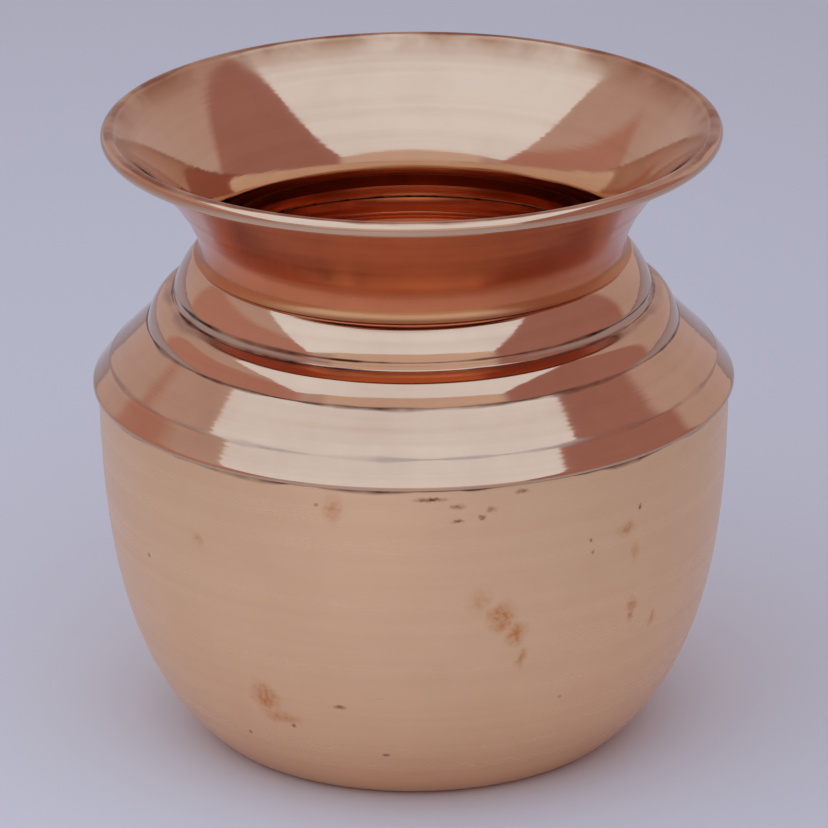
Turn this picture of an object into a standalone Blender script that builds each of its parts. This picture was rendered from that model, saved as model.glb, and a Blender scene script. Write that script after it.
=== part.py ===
"""A spun copper lota: bowl, shoulder, flared mouth, wired rim and the brazed seams between them.

Lengths are in metres, +Z is up, and the origin is the centre of the base on the surface it stands on.
Every piece is turned about Z. An outline is a list of (radius, height) points that runs down the
outer side of its sheet, and the sheet's thickness lies behind it.
"""

from math import atan2, cos, pi, radians, sin, sqrt, tan

import bmesh
import bpy
from mathutils import Vector
from mathutils.geometry import interpolate_bezier

MM = 0.001

# Sheet, wire and the clearances of the seams
SHEET = 0.6 * MM
LAP_CLEARANCE = 0.3 * MM
FLANGE_LENGTH = 2.8 * MM
BRAZE_LEG = 0.8 * MM
WIRE_DIAMETER = 1.1 * MM
WIRE_CLEARANCE = 0.1 * MM

# Bowl: a full side that draws in to a flat base with a rounded corner and a raised middle
BELLY_DIAMETER = 103.0 * MM
BELLY_HEIGHT = 59.0 * MM
SIDE_PULL = 30.6 * MM
BASE_DIAMETER = 61.4 * MM
FOOT_PULL = 15.3 * MM
FOOT_TILT = radians(43.5)
FOOT_ROUND = 6.0 * MM
REST_WIDTH = 7.0 * MM
BASE_RAISE = 0.8 * MM
BASE_RAMP = 3.0 * MM

# Shoulder, from the belly up to the neck: lip, band, crease, facet, roll, shelf, riser and top ridge
BELLY_LIP = 0.5 * MM
BELLY_ROUND = 0.9 * MM
BAND_WIDTH = 2.8 * MM
BAND_DROP = 3.6 * MM
CREASE_ROUND = 2.0 * MM
FACET_WIDTH = 6.15 * MM
FACET_DROP = 6.0 * MM
ROLL_WIDTH = 2.85 * MM
ROLL_DROP = 4.15 * MM
ROLL_TOP_PULL = 1.45 * MM
ROLL_FOOT_PULL = 2.3 * MM
ROLL_FOOT_TILT = radians(14.0)
SHELF_WIDTH = 1.3 * MM
SHELF_DROP = 0.5 * MM
COVE_ROUND = 0.5 * MM
RISER_WIDTH = 0.25 * MM
RISER_DROP = 1.3 * MM
RIDGE_WIDTH = 3.2 * MM
RIDGE_DROP = 5.3 * MM
RIDGE_BULGE = 0.35 * MM

# Mouth: it leaves the neck straight up, opens as a funnel and curls over the wire
MOUTH_HEIGHT = 21.15 * MM
FLARE_WIDTH = 15.3 * MM
NECK_STRAIGHT = 1.1 * MM
FLARE_NECK_PULL = 7.0 * MM
FLARE_LIP_PULL = 3.3 * MM
LIP_TILT = radians(54.0)
CURL_TURN = radians(270.0)

# Fineness of the turned forms
TURN_STEPS = 48
CURVE_STEPS = 10
CURL_STEPS = 10
RIDGE_STEPS = 4
ROUND_STEPS = 3
WIRE_SIDES = 8
WELD = 0.001 * MM
SHARP_EDGE = radians(35.0)

LAP = SHEET + LAP_CLEARANCE


def arc(centre, radius, start, end, steps):
    """Points on a circle from one angle to another, both ends included."""
    turns = [start + (end - start) * i / steps for i in range(steps + 1)]
    return [Vector((centre[0] + radius * cos(a), centre[1] + radius * sin(a))) for a in turns]


def bezier(start, start_pull, end_pull, end, steps):
    """Points of a smooth curve between two ends, drawn towards its two pull points."""
    knots = [p.to_3d() for p in (start, start_pull, end_pull, end)]
    return [p.to_2d() for p in interpolate_bezier(*knots, steps + 1)]


def fillet(before, corner, after, radius, steps):
    """The arc that rounds a corner between two straight runs."""
    back = (before - corner).normalized()
    ahead = (after - corner).normalized()
    to_centre = (back + ahead).normalized() * (radius / sin(back.angle(ahead) / 2))
    reach = sqrt(to_centre.length_squared - radius ** 2)
    first = back * reach - to_centre
    last = ahead * reach - to_centre
    start = atan2(first.y, first.x)
    sweep = atan2(first.x * last.y - first.y * last.x, first.dot(last))
    return arc(corner + to_centre, radius, start, start + sweep, steps)


def metal(name, colour, roughness):
    material = bpy.data.materials.new(name)
    material.use_nodes = True
    shader = material.node_tree.nodes["Principled BSDF"]
    shader.inputs["Base Color"].default_value = (*colour, 1.0)
    shader.inputs["Metallic"].default_value = 1.0
    shader.inputs["Roughness"].default_value = roughness
    return material


def turned(name, outline, height, material, closed=False):
    """An object made by spinning an outline about Z, placed at a height on the lota."""
    work = bmesh.new()
    points = [work.verts.new((p.x, 0.0, p.y)) for p in outline]
    edges = [work.edges.new(pair) for pair in zip(points, points[1:])]
    if closed:
        edges.append(work.edges.new((points[-1], points[0])))
    bmesh.ops.spin(work, geom=points + edges, cent=(0, 0, 0), axis=(0, 0, 1), angle=2 * pi,
                   steps=TURN_STEPS, use_merge=True)
    bmesh.ops.remove_doubles(work, verts=work.verts, dist=WELD)
    mesh = bpy.data.meshes.new(name)
    work.to_mesh(mesh)
    work.free()
    mesh.shade_smooth()
    mesh.set_sharp_from_angle(angle=SHARP_EDGE)
    mesh.materials.append(material)
    piece = bpy.data.objects.new(name, mesh)
    bpy.context.collection.objects.link(piece)
    piece.parent = lota
    piece.location.z = height
    return piece


def turned_sheet(name, outline, height, material):
    """A turned piece of sheet: the outline is its outer face, and the sheet lies behind it."""
    piece = turned(name, outline, height, material)
    sheet = piece.modifiers.new("sheet", 'SOLIDIFY')
    sheet.thickness = SHEET
    sheet.offset = -1.0
    sheet.use_even_offset = True
    return piece


for leftover in list(bpy.data.objects):
    bpy.data.objects.remove(leftover)

lota = bpy.data.objects.new("lota", None)
bpy.context.collection.objects.link(lota)


# Shoulder, drawn from its lower edge at height 0 and laid out from the belly in to the neck
lower_edge = Vector((BELLY_DIAMETER / 2, 0.0))
belly = lower_edge + Vector((0.0, BELLY_LIP))
crease = belly + Vector((-BAND_WIDTH, BAND_DROP))
facet_top = crease + Vector((-FACET_WIDTH, FACET_DROP))
roll_top = facet_top + Vector((-ROLL_WIDTH, ROLL_DROP))
cove = roll_top + Vector((-SHELF_WIDTH, SHELF_DROP))
ridge_foot = cove + Vector((-RISER_WIDTH, RISER_DROP))
shoulder_top = ridge_foot + Vector((-RIDGE_WIDTH, RIDGE_DROP))

# The top ridge is an arc, which the foot of the mouth follows from behind
half_chord = (shoulder_top - ridge_foot).length / 2
ridge_radius = (half_chord ** 2 + RIDGE_BULGE ** 2) / (2 * RIDGE_BULGE)
ridge_outward = Vector((RIDGE_DROP, RIDGE_WIDTH)).normalized()
ridge_centre = (shoulder_top + ridge_foot) / 2 - ridge_outward * (ridge_radius - RIDGE_BULGE)
ridge_start = atan2(shoulder_top.y - ridge_centre.y, shoulder_top.x - ridge_centre.x)
ridge_end = atan2(ridge_foot.y - ridge_centre.y, ridge_foot.x - ridge_centre.x)


def behind_ridge(depth, run):
    """A point so far behind the top ridge's face, and so far down from its upper edge."""
    angle = ridge_start - run / (ridge_radius - depth)
    return ridge_centre + Vector((cos(angle), sin(angle))) * (ridge_radius - depth)


shelf_slope = (roll_top - cove).normalized()
roll_foot_slope = Vector((sin(ROLL_FOOT_TILT), -cos(ROLL_FOOT_TILT)))
roll = bezier(roll_top, roll_top + shelf_slope * ROLL_TOP_PULL,
              facet_top - roll_foot_slope * ROLL_FOOT_PULL, facet_top, RIDGE_STEPS)

shoulder_outline = arc(ridge_centre, ridge_radius, ridge_start, ridge_end, RIDGE_STEPS)
shoulder_outline += fillet(ridge_foot, cove, roll_top, COVE_ROUND, ROUND_STEPS)
shoulder_outline += roll
shoulder_outline += fillet(facet_top, crease, belly, CREASE_ROUND, ROUND_STEPS)
shoulder_outline += fillet(crease, belly, lower_edge, BELLY_ROUND, ROUND_STEPS)
shoulder_outline.append(lower_edge)
turned_sheet("shoulder", shoulder_outline, BELLY_HEIGHT,
             metal("polished_copper_shoulder", (0.72, 0.40, 0.27), 0.16))


# Bowl, drawn from the base: its top edge is turned in and follows the shoulder's band, one lap inside
band_rise = (crease - belly).normalized()
band_outward = Vector((band_rise.y, -band_rise.x))
bend_run = LAP * (1.0 - band_outward.x) / -band_rise.x
bend = belly - band_outward * LAP + band_rise * bend_run + Vector((0.0, BELLY_HEIGHT))
flange_end = bend + band_rise * FLANGE_LENGTH

base_radius = BASE_DIAMETER / 2
foot = arc((base_radius, FOOT_ROUND), FOOT_ROUND, FOOT_TILT - pi / 2, -pi / 2, ROUND_STEPS)
foot_slope = Vector((cos(FOOT_TILT), sin(FOOT_TILT)))
side = bezier(bend, bend - Vector((0.0, SIDE_PULL)),
              foot[0] + foot_slope * FOOT_PULL, foot[0], CURVE_STEPS)
rest_inner = base_radius - REST_WIDTH

bowl_outline = [flange_end] + side + foot[1:]
bowl_outline.append(Vector((rest_inner, 0.0)))
bowl_outline.append(Vector((rest_inner - BASE_RAMP, BASE_RAISE)))
bowl_outline.append(Vector((0.0, BASE_RAISE)))
turned_sheet("bowl", bowl_outline, 0.0, metal("satin_copper_bowl", (0.74, 0.43, 0.31), 0.30))


# Mouth, drawn from the shoulder's top edge: curl, funnel, neck, and the foot belled under the ridge
neck_height = BELLY_HEIGHT + shoulder_top.y
neck_radius = shoulder_top.x - LAP
bore_radius = WIRE_DIAMETER / 2 + WIRE_CLEARANCE
bead_radius = bore_radius + SHEET
wire_centre = Vector((neck_radius + FLARE_WIDTH - bead_radius, MOUTH_HEIGHT - bead_radius))
lip_angle = pi - LIP_TILT
curl = arc(wire_centre, bore_radius, lip_angle - CURL_TURN, lip_angle, CURL_STEPS)
lip_slope = Vector((sin(LIP_TILT), cos(LIP_TILT)))
neck_top = Vector((neck_radius, NECK_STRAIGHT))
flare = bezier(curl[-1], curl[-1] - lip_slope * FLARE_LIP_PULL,
               neck_top + Vector((0.0, FLARE_NECK_PULL)), neck_top, CURVE_STEPS)

bell_runs = [FLANGE_LENGTH * i / ROUND_STEPS for i in range(ROUND_STEPS + 1)]
bell = [behind_ridge(LAP, run) - Vector((0.0, shoulder_top.y)) for run in bell_runs]
bell_start_slope = tan(pi / 2 - ridge_start)
neck_foot = Vector((neck_radius, bell[0].y + (bell[0].x - neck_radius) * bell_start_slope))

mouth_outline = curl + flare[1:] + [neck_foot] + bell
turned_sheet("mouth", mouth_outline, neck_height,
             metal("polished_copper_mouth", (0.72, 0.39, 0.26), 0.15))


# Rim wire, closed in the curl
wire_outline = arc((wire_centre.x, 0.0), WIRE_DIAMETER / 2, 0.0, -2 * pi, WIRE_SIDES)[:-1]
turned("rim_wire", wire_outline, neck_height + wire_centre.y,
       metal("drawn_copper_wire", (0.70, 0.36, 0.24), 0.35), closed=True)


# Brazing fillets, run into the corner between each flange's end and the shoulder's inner face
brazing = metal("brazing_brass", (0.72, 0.52, 0.26), 0.40)

neck_bead_run = FLANGE_LENGTH + LAP_CLEARANCE
neck_bead = [
    behind_ridge(LAP, neck_bead_run),
    behind_ridge(LAP, neck_bead_run + BRAZE_LEG),
    behind_ridge(LAP + SHEET, neck_bead_run),
]
turned("neck_braze", neck_bead, BELLY_HEIGHT, brazing, closed=True)

belly_bead_foot = flange_end + band_rise * LAP_CLEARANCE
belly_bead = [
    belly_bead_foot,
    belly_bead_foot - band_outward * SHEET,
    belly_bead_foot + band_rise * BRAZE_LEG,
]
turned("belly_braze", belly_bead, 0.0, brazing, closed=True)
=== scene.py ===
"""The looks of a spun copper lota: finely turned sheets, their polish and tarnish, and a plain studio."""

from math import atan2, ceil, cos, pi, radians, sin, sqrt, tan

import bmesh
import bpy
from mathutils import Matrix, Vector
from mathutils.geometry import interpolate_bezier
from mathutils.noise import noise


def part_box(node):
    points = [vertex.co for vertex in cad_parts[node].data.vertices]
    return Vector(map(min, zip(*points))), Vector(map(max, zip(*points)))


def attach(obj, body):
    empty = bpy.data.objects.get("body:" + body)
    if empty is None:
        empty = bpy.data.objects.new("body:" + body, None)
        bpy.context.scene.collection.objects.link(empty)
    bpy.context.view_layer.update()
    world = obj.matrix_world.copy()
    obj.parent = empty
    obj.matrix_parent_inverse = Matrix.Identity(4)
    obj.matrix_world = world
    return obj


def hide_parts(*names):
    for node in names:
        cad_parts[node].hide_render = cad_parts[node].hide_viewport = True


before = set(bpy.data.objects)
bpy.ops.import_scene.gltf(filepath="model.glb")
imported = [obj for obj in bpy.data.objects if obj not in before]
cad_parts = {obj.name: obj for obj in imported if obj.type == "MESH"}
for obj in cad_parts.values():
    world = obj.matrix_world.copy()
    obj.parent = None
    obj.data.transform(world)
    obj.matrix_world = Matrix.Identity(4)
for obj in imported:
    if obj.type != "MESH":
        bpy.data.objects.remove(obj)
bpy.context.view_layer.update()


# The bowl, the lower half of the pot: one disc of copper sheet, spun over a wooden former.
# Its top edge is turned in to lie under the shoulder, and its base is pressed up in the middle,
# so that the pot stands on a flat ring. The outside is buffed to a satin that runs round the pot.
MM = 0.001
SHEET = 0.6 * MM
TURN_STEPS = 240
POINT_SPACING = 0.5 * MM
WELD = 0.001 * MM
SHARP_EDGE = radians(28.0)

FLANGE_LENGTH = 2.8 * MM
BEND_ROUND = 0.5 * MM
BAND_WIDTH = 2.8 * MM
BAND_DROP = 3.6 * MM
SIDE_PULL = 30.6 * MM
BASE_DIAMETER = 61.4 * MM
FOOT_PULL = 15.3 * MM
FOOT_TILT = radians(43.5)
FOOT_ROUND = 6.0 * MM
REST_WIDTH = 7.0 * MM
BASE_RAISE = 0.8 * MM
BASE_RAMP = 3.0 * MM
BOWL_WAVE = 3.0 * MM
BOWL_WAVE_DEPTH = 0.006 * MM


def straight(start, end):
    """Points from one place to another, both ends included, about one spacing apart."""
    steps = max(1, ceil((end - start).length / POINT_SPACING))
    return [start.lerp(end, i / steps) for i in range(steps + 1)]


def arc(centre, radius, start, end, fewest=6):
    """Points on a circle from one angle to another, both ends included."""
    steps = max(fewest, ceil(radius * abs(end - start) / POINT_SPACING))
    turns = [start + (end - start) * i / steps for i in range(steps + 1)]
    return [Vector((centre[0] + radius * cos(a), centre[1] + radius * sin(a))) for a in turns]


def bezier(start, start_pull, end_pull, end, fewest=6):
    """Points of a smooth curve between two ends, drawn towards its two pull points."""
    steps = max(fewest, ceil((end - start).length / POINT_SPACING))
    knots = [p.to_3d() for p in (start, start_pull, end_pull, end)]
    return [p.to_2d() for p in interpolate_bezier(*knots, steps + 1)]


def fillet(before, corner, after, radius):
    """The arc that rounds a corner between two straight runs."""
    back = (before - corner).normalized()
    ahead = (after - corner).normalized()
    to_centre = (back + ahead).normalized() * (radius / sin(back.angle(ahead) / 2))
    reach = sqrt(to_centre.length_squared - radius ** 2)
    first = back * reach - to_centre
    last = ahead * reach - to_centre
    start = atan2(first.y, first.x)
    sweep = atan2(first.x * last.y - first.y * last.x, first.dot(last))
    return arc(corner + to_centre, radius, start, start + sweep)


def spinning_marks(outline, pitch, depth, seed):
    """The outline with the shallow waves that the spinning tool leaves, cut into its outer side."""
    marked = [outline[0]]
    run = 0.0
    for before, here, after in zip(outline, outline[1:], outline[2:]):
        run += (here - before).length
        along = (after - before).normalized()
        outward = Vector((-along.y, along.x))
        wave = 0.5 + 0.5 * noise(Vector((run / pitch, seed, 0.0)))
        marked.append(here - outward * (depth * wave))
    return marked + [outline[-1]]


def turned(name, outline, materials, closed=False):
    """A piece made by spinning an outline of (radius, height) points about the pot's axis."""
    work = bmesh.new()
    points = [work.verts.new((p.x, 0.0, p.y)) for p in outline]
    edges = [work.edges.new(pair) for pair in zip(points, points[1:])]
    if closed:
        edges.append(work.edges.new((points[-1], points[0])))
    bmesh.ops.spin(work, geom=points + edges, cent=(0, 0, 0), axis=(0, 0, 1), angle=2 * pi,
                   steps=TURN_STEPS, use_merge=True)
    bmesh.ops.remove_doubles(work, verts=work.verts, dist=WELD)
    mesh = bpy.data.meshes.new(name)
    work.to_mesh(mesh)
    work.free()
    mesh.shade_smooth()
    mesh.set_sharp_from_angle(angle=SHARP_EDGE)
    for material in materials:
        mesh.materials.append(material)
    piece = bpy.data.objects.new(name, mesh)
    bpy.context.collection.objects.link(piece)
    return piece


def turned_sheet(name, outline, outside, inside):
    """A turned piece of sheet: the outline is its outer face, and the sheet lies behind it."""
    piece = turned(name, outline, [outside, inside])
    sheet = piece.modifiers.new("sheet", 'SOLIDIFY')
    sheet.thickness = SHEET
    sheet.offset = -1.0
    sheet.use_even_offset = True
    sheet.material_offset = 1
    return piece


def linear(hex_colour):
    """An sRGB hex colour as linear red, green, blue and alpha."""
    channels = [int(hex_colour[i:i + 2], 16) / 255 for i in (1, 3, 5)]
    return [c / 12.92 if c <= 0.04045 else ((c + 0.055) / 1.055) ** 2.4 for c in channels] + [1.0]


def add(tree, kind, inputs=None, **settings):
    """Adds a node with its settings. An input is a value, or an output to link from."""
    made = tree.nodes.new(kind)
    for key, value in settings.items():
        setattr(made, key, value)
    for socket, value in (inputs or {}).items():
        if isinstance(value, bpy.types.NodeSocket):
            tree.links.new(value, made.inputs[socket])
        else:
            made.inputs[socket].default_value = value
    return made.outputs


def maths(tree, operation, *values):
    """The result of one operation on numbers or outputs."""
    return add(tree, 'ShaderNodeMath', dict(enumerate(values)), operation=operation)[0]


def ramp(tree, value, low, high, start=0.0, end=1.0, **settings):
    """A number that runs from start to end while the value runs from low to high."""
    limits = {"Value": value, "From Min": low, "From Max": high, "To Min": start, "To Max": end}
    return add(tree, 'ShaderNodeMapRange', limits, **settings)[0]


def blend(tree, share, first, second):
    """A colour that goes from the first to the second while the share goes from 0 to 1."""
    return add(tree, 'ShaderNodeMix', {0: share, 6: first, 7: second}, data_type='RGBA')[2]


def axis_distance(tree, place):
    """How far a place lies from the pot's axis."""
    level = add(tree, 'ShaderNodeVectorMath', {0: place, 1: (1, 1, 0)}, operation='MULTIPLY')
    return add(tree, 'ShaderNodeVectorMath', {0: level[0]}, operation='LENGTH')["Value"]


# Spun copper: fine rings from the buffing wheel break up what it mirrors, broader bands are duller
# or shinier, and a thin brown film of tarnish lies on it in clouds and in rings. The real rings are
# too fine to show, so they are drawn coarser.
POLISH_LINE = 0.6 * MM
BUFFED_BAND = 2.2 * MM
RING_DRIFT = 0.02
CLOUD = 17.0 * MM
MARKS_DULL = 0.2


def spun_copper(name, clean, tarnished, film_share, smoothest, dullest, line_depth, marks=()):
    """Spun copper sheet. Each of its marks is a function that gives a mask, with the mark's colour."""
    material = bpy.data.materials.new(name)
    material.use_nodes = True
    tree = material.node_tree
    place = add(tree, 'ShaderNodeTexCoord')["Object"]
    axes = add(tree, 'ShaderNodeSeparateXYZ', {0: place})
    drift_x = maths(tree, 'MULTIPLY', axes["X"], RING_DRIFT)
    drift_y = maths(tree, 'MULTIPLY', axes["Y"], RING_DRIFT)
    rings = add(tree, 'ShaderNodeCombineXYZ',
                {"X": axis_distance(tree, place), "Y": axes["Z"], "Z": drift_x})
    lines = add(tree, 'ShaderNodeTexNoise',
                {"Vector": rings[0], "W": drift_y, "Scale": 1 / POLISH_LINE, "Detail": 2.0},
                noise_dimensions='4D')
    bands = add(tree, 'ShaderNodeTexNoise',
                {"Vector": rings[0], "W": drift_y, "Scale": 1 / BUFFED_BAND, "Detail": 3.0},
                noise_dimensions='4D')
    clouds = add(tree, 'ShaderNodeTexNoise',
                 {"Vector": place, "Scale": 1 / CLOUD, "Detail": 5.0, "Roughness": 0.6})
    cloudy = ramp(tree, clouds[0], 0.42, 0.72, end=film_share)
    streaky = ramp(tree, bands[0], 0.45, 0.75, end=film_share)
    film = maths(tree, 'ADD', cloudy, streaky)
    colour = blend(tree, film, linear(clean), linear(tarnished))
    dullness = ramp(tree, bands[0], 0.3, 0.7, smoothest, dullest)
    for mask_of, mark_colour in marks:
        mask = mask_of(tree, place)
        colour = blend(tree, mask, colour, linear(mark_colour))
        dullness = maths(tree, 'MULTIPLY_ADD', mask, MARKS_DULL, dullness)
    bump = add(tree, 'ShaderNodeBump', {"Height": lines[0], "Distance": line_depth})
    shader = tree.nodes["Principled BSDF"]
    shader.inputs["Metallic"].default_value = 1.0
    tree.links.new(colour, shader.inputs["Base Color"])
    tree.links.new(dullness, shader.inputs["Roughness"])
    tree.links.new(bump[0], shader.inputs["Normal"])
    return material


bowl_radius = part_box("bowl")[1].x
flange_end_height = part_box("bowl")[1].z
band_rise = Vector((-BAND_WIDTH, BAND_DROP)).normalized()
band_outward = Vector((band_rise.y, -band_rise.x))
bend = Vector((bowl_radius, flange_end_height - FLANGE_LENGTH * band_rise.y))
flange_end = bend + band_rise * FLANGE_LENGTH

base_radius = BASE_DIAMETER / 2
foot = arc((base_radius, FOOT_ROUND), FOOT_ROUND, FOOT_TILT - pi / 2, -pi / 2)
foot_slope = Vector((cos(FOOT_TILT), sin(FOOT_TILT)))
side = bezier(bend, bend - Vector((0.0, SIDE_PULL)), foot[0] + foot_slope * FOOT_PULL, foot[0])
rest_inner = Vector((base_radius - REST_WIDTH, 0.0))
middle_edge = rest_inner + Vector((-BASE_RAMP, BASE_RAISE))
middle = Vector((0.0, BASE_RAISE))

bowl_outline = [flange_end] + fillet(flange_end, bend, side[1], BEND_ROUND)
bowl_outline += spinning_marks(side[1:], BOWL_WAVE, BOWL_WAVE_DEPTH, seed=1.0)
bowl_outline += foot[1:]
bowl_outline += straight(foot[-1], rest_inner)[1:]
bowl_outline += straight(rest_inner, middle_edge)[1:]
bowl_outline += straight(middle_edge, middle)[1:]

# Stains and nicks of use on the bowl. Each has its azimuth in degrees to the right of the front, its
# height, half its width and half its height in millimetres, and its strength. Water stains are
# orange smears, broken into speckles, and nicks are small dark dashes that hold dirt.
STAINS = (
    (15.6, 36.4, 3.4, 3.4, 1.0), (18.4, 33.2, 2.6, 3.0, 0.9), (11.6, 39.6, 3.0, 3.6, 0.5),
    (19.7, 28.4, 1.2, 3.2, 0.7), (-31.2, 19.6, 3.4, 4.6, 0.9), (-28.5, 16.2, 5.0, 1.8, 0.7),
    (-14.6, 55.2, 2.4, 3.4, 0.6), (43.8, 32.6, 1.3, 3.4, 0.9), (50.2, 29.3, 1.2, 2.4, 0.6),
    (-42.7, 45.5, 2.0, 1.8, 0.5), (41.0, 47.1, 2.6, 2.0, 0.7), (43.4, 42.7, 1.4, 2.6, 0.6),
)
NICKS = (
    (2.8, 57.2, 3.6, 0.6, 0.9), (7.5, 55.9, 1.9, 0.6, 0.7), (7.5, 53.4, 1.6, 0.5, 0.8),
    (11.8, 53.8, 0.9, 0.6, 0.9), (13.6, 55.1, 1.3, 0.8, 0.6), (19.2, 57.5, 1.6, 0.5, 0.8),
    (44.2, 50.1, 0.5, 0.8, 0.8), (32.9, 47.0, 0.5, 0.5, 0.8), (33.4, 45.0, 0.5, 0.7, 0.7),
    (-57.8, 38.8, 0.7, 0.6, 0.8), (-15.1, 20.1, 1.6, 0.5, 0.9), (-38.7, 10.9, 0.6, 0.6, 0.8),
    (-6.6, 10.6, 0.9, 0.5, 0.9), (29.2, 19.6, 0.6, 0.6, 0.7), (-26.0, 15.0, 0.7, 0.6, 0.9),
    (-17.5, 55.8, 0.5, 0.5, 0.8),
)
STAIN_COLOUR = "#DE945C"
NICK_COLOUR = "#8A5640"
STAIN_RAGGED = 2.4 * MM
NICK_RAGGED = 0.9 * MM
SPECKLE = 0.9 * MM
SPECKLE_FAINTEST = 0.5
# Half the width of the band of painted shade that lies on the bowl just under the shoulder's lip.
SEAM_SHADE = 0.5 * MM


def blots(marks, ragged):
    """A function that gives the mask of these marks on the bowl, with edges so ragged."""
    def mask_of(tree, place):
        edges = add(tree, 'ShaderNodeTexNoise', {"Vector": place, "Scale": 1 / ragged, "Detail": 4.0})
        shift = add(tree, 'ShaderNodeVectorMath', {0: edges["Color"], 1: (0.5, 0.5, 0.5)},
                    operation='SUBTRACT')
        place = add(tree, 'ShaderNodeVectorMath', {0: shift[0], 1: (ragged, ragged, ragged), 2: place},
                    operation='MULTIPLY_ADD')[0]
        total = 0.0
        for azimuth, height, half_width, half_height, strength in marks:
            turn = radians(azimuth)
            out = min(side, key=lambda p: abs(p.y - height * MM)).x
            spot = add(tree, 'ShaderNodeMapping',
                       {"Vector": place, "Location": (out * sin(turn), -out * cos(turn), height * MM),
                        "Rotation": (0, 0, turn),
                        "Scale": (half_width * MM, half_width * MM, half_height * MM)},
                       vector_type='TEXTURE')
            blot = add(tree, 'ShaderNodeTexGradient', {0: spot[0]}, gradient_type='SPHERICAL')["Fac"]
            total = maths(tree, 'MAXIMUM', total, maths(tree, 'MULTIPLY', blot, strength))
        soft = ramp(tree, total, 0.0, 0.8, interpolation_type='SMOOTHSTEP')
        speckle = add(tree, 'ShaderNodeTexNoise', {"Vector": place, "Scale": 1 / SPECKLE, "Detail": 3.0})
        broken = ramp(tree, speckle[0], 0.38, 0.62, SPECKLE_FAINTEST, 1.0)
        return maths(tree, 'MULTIPLY', soft, broken)
    return mask_of


# Polish and dirt stay behind in the grooves, in thin dark lines that fade and thicken along their run. The
# same kind of line paints shade on the bowl just under the shoulder's lip.
DIRT_AND_SHADE_PATCH = 9.0 * MM
DIRT_AND_SHADE_FAINTEST = 0.3
DIRT_AND_SHADE_SWELL = 14.0 * MM
DIRT_AND_SHADE_THINNEST = 0.5
DIRT_AND_SHADE_THICKEST = 2.0
# The dark colour of the dirt in the grooves, and of the painted shade under the shoulder's lip.
DIRT_AND_SHADE_COLOUR = "#4E2A22"


def patchy(tree, place, mask):
    """The mask, fading and thickening in patches."""
    patches = add(tree, 'ShaderNodeTexNoise', {"Vector": place, "Scale": 1 / DIRT_AND_SHADE_PATCH, "Detail": 3.0})
    return maths(tree, 'MULTIPLY', mask, ramp(tree, patches[0], 0.35, 0.6, DIRT_AND_SHADE_FAINTEST, 1.0))


def dirt_and_shade_lines(grooves):
    """A function that gives the mask of lines round the pot, for dirt, films and painted shade, each given
    as a height and half the line's width.
    """
    def mask_of(tree, place):
        rise = add(tree, 'ShaderNodeSeparateXYZ', {0: place})["Z"]
        swelling = add(tree, 'ShaderNodeTexNoise', {"Vector": place, "Scale": 1 / DIRT_AND_SHADE_SWELL, "Detail": 2.0})
        swell = ramp(tree, swelling[0], 0.38, 0.62, DIRT_AND_SHADE_THINNEST, DIRT_AND_SHADE_THICKEST)
        total = 0.0
        for height, half_width in grooves:
            gap = maths(tree, 'ABSOLUTE', maths(tree, 'SUBTRACT', rise, height))
            gap = maths(tree, 'DIVIDE', gap, swell)
            near = ramp(tree, gap, half_width / 3, half_width, 1.0, 0.0)
            total = maths(tree, 'MAXIMUM', total, near)
        return patchy(tree, place, total)
    return mask_of


# The inside is left as it came from the spinning lathe: dull, and browned by the brazing heat, so it
# glows a deep orange from one wall to the other.
dull_copper = spun_copper("heat_browned_copper", "#EEA882", "#96573D", film_share=0.35,
                          smoothest=0.14, dullest=0.26, line_depth=0.002 * MM)

# Satin copper spreads what it mirrors into one soft pale glow, on which the stains and nicks show. A dark
# band of painted shade lies on it just under the shoulder's lip.
painted_seam_shade = dirt_and_shade_lines(((bend.y - SEAM_SHADE, SEAM_SHADE),))
satin_copper = spun_copper("satin_copper", "#FBCCA0", "#CE9168", film_share=0.1,
                           smoothest=0.26, dullest=0.31, line_depth=0.0006 * MM,
                           marks=[(blots(STAINS, STAIN_RAGGED), STAIN_COLOUR),
                                  (blots(NICKS, NICK_RAGGED), NICK_COLOUR),
                                  (painted_seam_shade, DIRT_AND_SHADE_COLOUR)])
bowl = turned_sheet("bowl_sheet", bowl_outline, satin_copper, dull_copper)
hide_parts("bowl")
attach(bowl, "root")


# The shoulder, the upper half of the body: a second sheet, spun with a belly lip, a steep band,
# a broad facet, a roll, a shelf with a short riser, and a rounded ridge below the neck. Its lip laps
# over the bowl, and the seam is brazed inside.
BELLY_LIP = 0.5 * MM
BELLY_ROUND = 0.9 * MM
CREASE_ROUND = 2.0 * MM
FACET_WIDTH = 6.15 * MM
FACET_DROP = 6.0 * MM
ROLL_WIDTH = 2.85 * MM
ROLL_DROP = 4.15 * MM
ROLL_TOP_PULL = 1.45 * MM
ROLL_FOOT_PULL = 2.3 * MM
ROLL_FOOT_TILT = radians(14.0)
SHELF_WIDTH = 1.3 * MM
SHELF_DROP = 0.5 * MM
COVE_ROUND = 0.5 * MM
RISER_WIDTH = 0.25 * MM
RISER_DROP = 1.3 * MM
RIDGE_WIDTH = 3.2 * MM
RIDGE_DROP = 5.3 * MM
RIDGE_BULGE = 0.35 * MM
SHOULDER_WAVE = 1.6 * MM
SHOULDER_WAVE_DEPTH = 0.010 * MM

lower_edge = Vector((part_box("shoulder")[1].x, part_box("shoulder")[0].z))
belly = lower_edge + Vector((0.0, BELLY_LIP))
crease = belly + Vector((-BAND_WIDTH, BAND_DROP))
facet_top = crease + Vector((-FACET_WIDTH, FACET_DROP))
roll_top = facet_top + Vector((-ROLL_WIDTH, ROLL_DROP))
cove = roll_top + Vector((-SHELF_WIDTH, SHELF_DROP))
ridge_foot = cove + Vector((-RISER_WIDTH, RISER_DROP))
shoulder_top = ridge_foot + Vector((-RIDGE_WIDTH, RIDGE_DROP))

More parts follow.
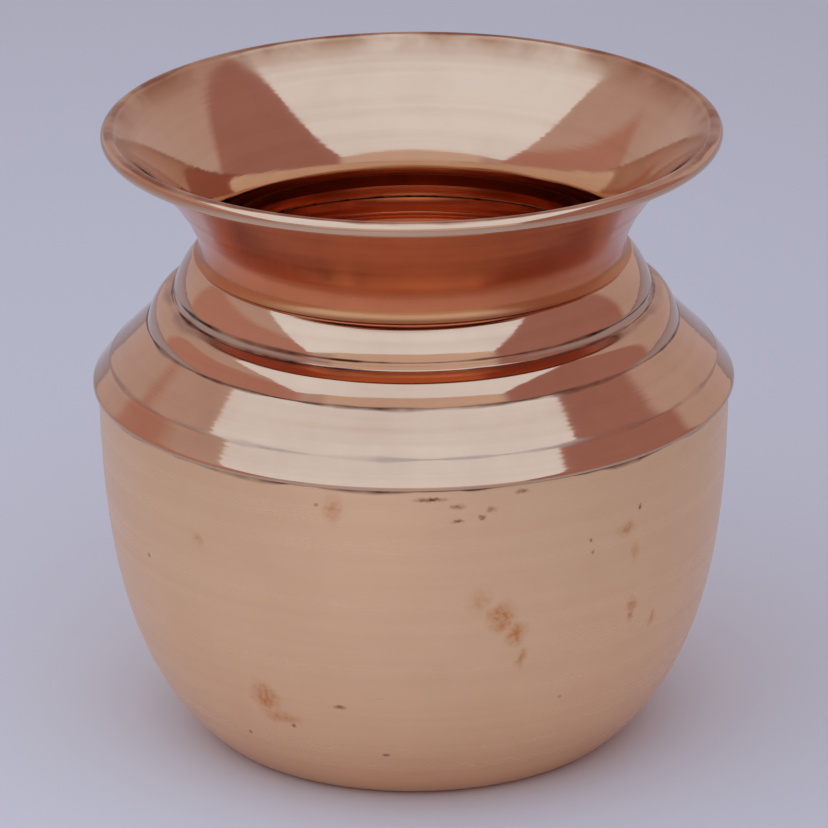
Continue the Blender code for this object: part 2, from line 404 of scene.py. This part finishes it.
half_chord = (shoulder_top - ridge_foot).length / 2
ridge_radius = (half_chord ** 2 + RIDGE_BULGE ** 2) / (2 * RIDGE_BULGE)
ridge_outward = Vector((RIDGE_DROP, RIDGE_WIDTH)).normalized()
ridge_centre = (shoulder_top + ridge_foot) / 2 - ridge_outward * (ridge_radius - RIDGE_BULGE)
ridge_start = atan2(shoulder_top.y - ridge_centre.y, shoulder_top.x - ridge_centre.x)
ridge_end = atan2(ridge_foot.y - ridge_centre.y, ridge_foot.x - ridge_centre.x)


def behind_ridge(depth, run):
    """A point so far behind the top ridge's face, and so far down from its upper edge."""
    angle = ridge_start - run / (ridge_radius - depth)
    return ridge_centre + Vector((cos(angle), sin(angle))) * (ridge_radius - depth)


shelf_slope = (roll_top - cove).normalized()
roll_foot_slope = Vector((sin(ROLL_FOOT_TILT), -cos(ROLL_FOOT_TILT)))
roll = bezier(roll_top, roll_top + shelf_slope * ROLL_TOP_PULL,
              facet_top - roll_foot_slope * ROLL_FOOT_PULL, facet_top, fewest=14)
cove_bend = fillet(ridge_foot, cove, roll_top, COVE_ROUND)
crease_bend = fillet(facet_top, crease, belly, CREASE_ROUND)
belly_bend = fillet(crease, belly, lower_edge, BELLY_ROUND)
shoulder_outline = arc(ridge_centre, ridge_radius, ridge_start, ridge_end, fewest=12)
shoulder_outline += straight(ridge_foot, cove_bend[0])[1:]
shoulder_outline += cove_bend[1:]
shoulder_outline += straight(cove_bend[-1], roll_top)[1:]
shoulder_outline += roll[1:]
shoulder_outline += straight(facet_top, crease_bend[0])[1:]
shoulder_outline += crease_bend[1:]
shoulder_outline += straight(crease_bend[-1], belly_bend[0])[1:]
shoulder_outline += belly_bend[1:]
shoulder_outline.append(lower_edge)
shoulder_outline = spinning_marks(shoulder_outline, SHOULDER_WAVE, SHOULDER_WAVE_DEPTH, seed=2.0)

# Polished copper mirrors the window and the walls as sharp panels with slightly ragged edges. Dark
# dirt lies in the grooves. The wheel misses the shelf, which stays dull, and leaves a faint film
# along the crease.
GROOVE_DIRT = 0.25 * MM
COVE_DIRT = 0.15 * MM
SHELF_FILM = 0.5 * MM
SHELF_COLOUR = "#B9917C"
CREASE_FILM = 0.3 * MM
CREASE_COLOUR = "#B99782"
POLISHED_COLOUR = "#DEB698"
POLISHED_TARNISH = "#A2613F"
shelf_middle = (roll_top.y + cove.y) / 2
crease_film = dirt_and_shade_lines(((crease.y, CREASE_FILM),))
shelf_film = dirt_and_shade_lines(((shelf_middle, SHELF_FILM),))
groove_dirt = dirt_and_shade_lines(((ridge_foot.y, GROOVE_DIRT), (cove.y, COVE_DIRT), (facet_top.y, GROOVE_DIRT)))
polished_shoulder = spun_copper("polished_copper", POLISHED_COLOUR, POLISHED_TARNISH, film_share=0.16,
                                smoothest=0.05, dullest=0.10, line_depth=0.011 * MM,
                                marks=[(crease_film, CREASE_COLOUR), (shelf_film, SHELF_COLOUR),
                                       (groove_dirt, DIRT_AND_SHADE_COLOUR)])
shoulder = turned_sheet("shoulder_sheet", shoulder_outline, polished_shoulder, dull_copper)
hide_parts("shoulder")
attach(shoulder, "root")


# The mouth: a third sheet that leaves the neck straight up and opens as a funnel. Its foot is
# belled out under the top ridge of the shoulder, and its rim is curled over a wire to stiffen it.
NECK_STRAIGHT = 1.1 * MM
FLARE_NECK_PULL = 7.0 * MM
FLARE_LIP_PULL = 3.3 * MM
LIP_TILT = radians(54.0)
CURL_TURN = radians(270.0)
WIRE_DIAMETER = 1.1 * MM
WIRE_CLEARANCE = 0.1 * MM
LAP_CLEARANCE = 0.3 * MM
LAP = SHEET + LAP_CLEARANCE
BELL_STEPS = 6
MOUTH_WAVE = 2.0 * MM
MOUTH_WAVE_DEPTH = 0.010 * MM

neck_radius = shoulder_top.x - LAP
bore_radius = WIRE_DIAMETER / 2 + WIRE_CLEARANCE
bead_radius = bore_radius + SHEET
rim_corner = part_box("mouth")[1]
wire_centre = Vector((rim_corner.x - bead_radius, rim_corner.z - bead_radius))
lip_angle = pi - LIP_TILT
curl = arc(wire_centre, bore_radius, lip_angle - CURL_TURN, lip_angle, fewest=24)
lip_slope = Vector((sin(LIP_TILT), cos(LIP_TILT)))
neck_top = Vector((neck_radius, shoulder_top.y + NECK_STRAIGHT))
flare = bezier(curl[-1], curl[-1] - lip_slope * FLARE_LIP_PULL,
               neck_top + Vector((0.0, FLARE_NECK_PULL)), neck_top)
bell = [behind_ridge(LAP, FLANGE_LENGTH * i / BELL_STEPS) for i in range(BELL_STEPS + 1)]
bell_start_slope = tan(pi / 2 - ridge_start)
neck_foot = Vector((neck_radius, bell[0].y + (bell[0].x - neck_radius) * bell_start_slope))
mouth_outline = curl + spinning_marks(flare, MOUTH_WAVE, MOUTH_WAVE_DEPTH, seed=3.0)[1:]
mouth_outline += [neck_foot] + bell

# The funnel and the bead are polished, but the wheel slips off below the bead, where a dull brown film
# stays on. It reaches less well under the rim too, where the brazing heat left the copper a deeper red.
RIM_FILM = 4.5 * MM
RIM_FILM_COLOUR = "#B07C5C"
BEAD_FILM = 0.25 * MM
BEAD_COLOUR = "#9B6044"


def rim_film(tree, place):
    """The mask of the film on the funnel, which thickens up to the bead and ends on its top."""
    radius = axis_distance(tree, place)
    bead_edge = wire_centre.x - bead_radius
    thickening = ramp(tree, radius, wire_centre.x - RIM_FILM, bead_edge)
    ending = ramp(tree, radius, bead_edge, wire_centre.x, 1.0, 0.0)
    return patchy(tree, place, maths(tree, 'MULTIPLY', thickening, ending))


bead_film = dirt_and_shade_lines(((rim_corner.z, BEAD_FILM),))
polished_mouth = spun_copper("polished_mouth_copper", POLISHED_COLOUR, POLISHED_TARNISH, film_share=0.14,
                             smoothest=0.05, dullest=0.10, line_depth=0.009 * MM,
                             marks=[(rim_film, RIM_FILM_COLOUR), (bead_film, BEAD_COLOUR)])
reddened_neck = spun_copper("reddened_neck_copper", "#E2865A", "#9A4E33", film_share=0.3,
                            smoothest=0.12, dullest=0.20, line_depth=0.006 * MM)
mouth = turned_sheet("mouth_sheet", mouth_outline, reddened_neck, polished_mouth)
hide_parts("mouth")
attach(mouth, "root")


# The rim wire: a ring of hard-drawn copper wire that the rim is curled over. It is closed in by the
# curl, and only its underside shows in the gap that the curl leaves, as a dull brown line.
wire_outline = arc(wire_centre, WIRE_DIAMETER / 2, 0.0, -2 * pi, fewest=24)[:-1]
drawn_copper = spun_copper("drawn_copper_wire", "#D9986F", "#7C452E", film_share=0.4,
                           smoothest=0.3, dullest=0.4, line_depth=0.001 * MM)
rim_wire = turned("rim_wire_ring", wire_outline, [drawn_copper], closed=True)
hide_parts("rim_wire")
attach(rim_wire, "root")


# The brazed seams: brass run in hot, a fillet inside the belly and another inside the neck. At the
# neck it has run through to the outside, where it fills the corner above the top ridge and is
# buffed with the copper.
BRAZE_LEG = 0.8 * MM
BRAZE_HOLLOW = 0.4
SEAM_RISE = 1.7 * MM
SEAM_PULL = 0.6 * MM
BRASS_LUMP = 1.5 * MM
BRASS_LUMP_HEIGHT = 0.05 * MM
BRASS_DULL = 0.45
FLUX_DULL = 0.25


def run_brass(name, colour, flux_brown):
    """Brass as it set from the torch: lumpy, satin, with brown glassy patches of spent flux."""
    material = bpy.data.materials.new(name)
    material.use_nodes = True
    tree = material.node_tree
    place = add(tree, 'ShaderNodeTexCoord')["Object"]
    lumps = add(tree, 'ShaderNodeTexNoise', {"Vector": place, "Scale": 1 / BRASS_LUMP, "Detail": 4.0})
    flux = ramp(tree, lumps[0], 0.5, 0.65)
    mixed = blend(tree, flux, linear(colour), linear(flux_brown))
    dullness = ramp(tree, lumps[0], 0.3, 0.7, BRASS_DULL, FLUX_DULL)
    bump = add(tree, 'ShaderNodeBump', {"Height": lumps[0], "Distance": BRASS_LUMP_HEIGHT})
    shader = tree.nodes["Principled BSDF"]
    shader.inputs["Metallic"].default_value = 1.0
    tree.links.new(mixed, shader.inputs["Base Color"])
    tree.links.new(dullness, shader.inputs["Roughness"])
    tree.links.new(bump[0], shader.inputs["Normal"])
    return material


def bead(corner, first_leg_end, second_leg_end):
    """The outline of a fillet in a corner: two flat legs and a hollow face between their ends."""
    hollow = bezier(first_leg_end, first_leg_end.lerp(corner, BRAZE_HOLLOW),
                    second_leg_end.lerp(corner, BRAZE_HOLLOW), second_leg_end)
    return [corner] + hollow


brass = run_brass("run_brass", "#94583A", "#5A3222")
belly_corner = flange_end + band_rise * LAP_CLEARANCE
belly_bead = bead(belly_corner, belly_corner - band_outward * SHEET, belly_corner + band_rise * BRAZE_LEG)
neck_run = FLANGE_LENGTH + LAP_CLEARANCE
neck_bead = bead(behind_ridge(LAP, neck_run), behind_ridge(LAP, neck_run + BRAZE_LEG),
                 behind_ridge(LAP + SHEET, neck_run))
for node, outline in (("belly_braze", belly_bead), ("neck_braze", neck_bead)):
    braze = turned(node + "_fillet", outline, [brass], closed=True)
    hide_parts(node)
    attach(braze, "root")

# Buffed braze is duller than the copper beside it, so it shows as a soft ring at the foot of the neck.
seam_top = Vector((neck_radius, shoulder_top.y + SEAM_RISE))
ridge_slope = Vector((-sin(ridge_start), cos(ridge_start)))
seam_face = bezier(seam_top, seam_top - Vector((0.0, SEAM_PULL)),
                   shoulder_top + ridge_slope * SEAM_PULL, shoulder_top)
seam_outline = seam_face + [behind_ridge(SHEET, 0.0), neck_foot]
buffed_brass = spun_copper("buffed_braze", "#CF8F63", "#9C5A3A", film_share=0.2,
                           smoothest=0.26, dullest=0.34, line_depth=0.0006 * MM)
neck_seam = turned("neck_seam_braze", seam_outline, [buffed_brass], closed=True)
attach(neck_seam, "root")


# The studio: a pale floor, one large soft window of daylight in front and above, and a pale room
# with a brown wall at the right, a light brown one at the left and a white front.
FLOOR_SIZE = 12.0
FLOOR_COLOUR = "#C8C1C4"
# The pool's colour, middle and size make a painted pool of daylight on the floor in front of the pot.
PAINTED_LIGHT_POOL_COLOUR = "#E7E1E4"
PAINTED_LIGHT_POOL_CENTRE = (-0.05, -0.2, 0.0)
PAINTED_LIGHT_POOL_SIZE = (0.3, 0.65, 1.0)
MATT = 0.9
FAINT_SHEEN = 0.2


def plain_sheet(name, size, material_name, hex_colour):
    """A flat sheet of the studio, of one plain matt colour."""
    wide, deep = size[0] / 2, size[1] / 2
    mesh = bpy.data.meshes.new(name)
    mesh.from_pydata([(-wide, -deep, 0), (wide, -deep, 0), (wide, deep, 0), (-wide, deep, 0)], [],
                     [(0, 1, 2, 3)])
    material = bpy.data.materials.new(material_name)
    material.use_nodes = True
    shader = material.node_tree.nodes["Principled BSDF"]
    shader.inputs["Base Color"].default_value = linear(hex_colour)
    shader.inputs["Roughness"].default_value = MATT
    shader.inputs["Specular IOR Level"].default_value = FAINT_SHEEN
    mesh.materials.append(material)
    sheet = bpy.data.objects.new(name, mesh)
    bpy.context.collection.objects.link(sheet)
    return sheet


# The floor's paper is painted palest in a pool in front of the pot and greyer at the sides and behind:
# painted light, standing for the daylight that falls on the floor in front of the pot.
floor = plain_sheet("floor", (FLOOR_SIZE, FLOOR_SIZE), "pale_paper", FLOOR_COLOUR)
paper = floor.active_material.node_tree
place = add(paper, 'ShaderNodeTexCoord')["Object"]
painted_light_pool = add(paper, 'ShaderNodeMapping', {"Vector": place, "Location": PAINTED_LIGHT_POOL_CENTRE, "Scale": PAINTED_LIGHT_POOL_SIZE},
           vector_type='TEXTURE')
painted_light_pool = add(paper, 'ShaderNodeTexGradient', {0: painted_light_pool[0]}, gradient_type='SPHERICAL')["Fac"]
shade = blend(paper, painted_light_pool, linear(FLOOR_COLOUR), linear(PAINTED_LIGHT_POOL_COLOUR))
paper.links.new(shade, paper.nodes["Principled BSDF"].inputs["Base Color"])

# Each wall has its middle in degrees to the right of the front, half its width and its top in degrees
# as the pot sees them, and its colour.
ROOM_COLOUR = "#C2B6BA"
WALLS = (
    (78.5, 38.5, 56.0, "#A88384"),
    (-90.0, 40.0, 27.0, "#BA9693"),
    (0.0, 38.0, 27.0, "#D7CFCE"),
)
WALL_EDGE = 2.0
world = bpy.data.worlds.new("room")
bpy.context.scene.world = world
world.use_nodes = True
room = world.node_tree
ray = add(room, 'ShaderNodeTexCoord')["Generated"]
rise = add(room, 'ShaderNodeSeparateXYZ', {0: ray})["Z"]
level = add(room, 'ShaderNodeVectorMath', {0: ray, 1: (1, 1, 0)}, operation='MULTIPLY')
level = add(room, 'ShaderNodeVectorMath', {0: level[0]}, operation='NORMALIZE')
colour = linear(ROOM_COLOUR)
for middle_turn, half_turn, top, wall_colour in WALLS:
    turn = radians(middle_turn)
    facing = add(room, 'ShaderNodeVectorMath', {0: level[0], 1: (sin(turn), -cos(turn), 0)},
                 operation='DOT_PRODUCT')["Value"]
    across = ramp(room, facing, cos(radians(half_turn + WALL_EDGE)), cos(radians(half_turn - WALL_EDGE)))
    below = ramp(room, rise, sin(radians(top + WALL_EDGE)), sin(radians(top - WALL_EDGE)))
    wall = maths(room, 'MULTIPLY', across, below)
    colour = blend(room, wall, colour, linear(wall_colour))
room.links.new(colour, room.nodes["Background"].inputs["Color"])

WINDOW_DISTANCE = 2.0
WINDOW_RISE = radians(60.0)
WINDOW_SIZE = (4.28, 3.74)
WINDOW_SHIFT = (-0.46, 0.63)
WINDOW_POWER = 71.6
WINDOW_COLOUR = "#CDE5FF"
BLIND_COLOUR = "#18181A"
BLIND_GAP = 0.01
window_data = bpy.data.lights.new("window", 'AREA')
window_data.shape = 'RECTANGLE'
window_data.size, window_data.size_y = WINDOW_SIZE
window_data.energy = WINDOW_POWER
window_data.color = linear(WINDOW_COLOUR)[:3]
window = bpy.data.objects.new("window", window_data)
to_window = Vector((0.0, -cos(WINDOW_RISE), sin(WINDOW_RISE)))
window_up = Vector((0.0, sin(WINDOW_RISE), cos(WINDOW_RISE)))
window.location = to_window * WINDOW_DISTANCE + window_up * WINDOW_SHIFT[1]
window.location.x = WINDOW_SHIFT[0]
window.rotation_euler = to_window.to_track_quat('Z', 'Y').to_euler()
bpy.context.collection.objects.link(window)

# A dark blind behind the window keeps the room's walls out of the window's mirror image.
blind = plain_sheet("blind", WINDOW_SIZE, "dark_blind", BLIND_COLOUR)
blind.location = window.location + to_window * BLIND_GAP
blind.rotation_euler = window.rotation_euler


# The camera stands a metre away, a little above the pot, and is turned by half a degree.
CAMERA_DISTANCE = 1030.0 * MM
CAMERA_RISE = radians(20.8)
CAMERA_ROLL = radians(-0.49)
CAMERA_LENS = 277.9
SENSOR_WIDTH = 36.0
AIM_HEIGHT = 52.17 * MM

camera_data = bpy.data.cameras.new("camera")
camera_data.lens = CAMERA_LENS
camera_data.sensor_width = SENSOR_WIDTH
camera = bpy.data.objects.new("camera", camera_data)
bpy.context.collection.objects.link(camera)
aim = Vector((0.0, 0.0, AIM_HEIGHT))
to_camera = Vector((0.0, -cos(CAMERA_RISE), sin(CAMERA_RISE)))
camera.location = aim + to_camera * CAMERA_DISTANCE
level_view = to_camera.to_track_quat('Z', 'Y').to_matrix()
camera.rotation_euler = (level_view @ Matrix.Rotation(CAMERA_ROLL, 3, 'Z')).to_euler()
bpy.context.scene.camera = camera
bpy.context.scene.view_settings.view_transform = 'Standard'
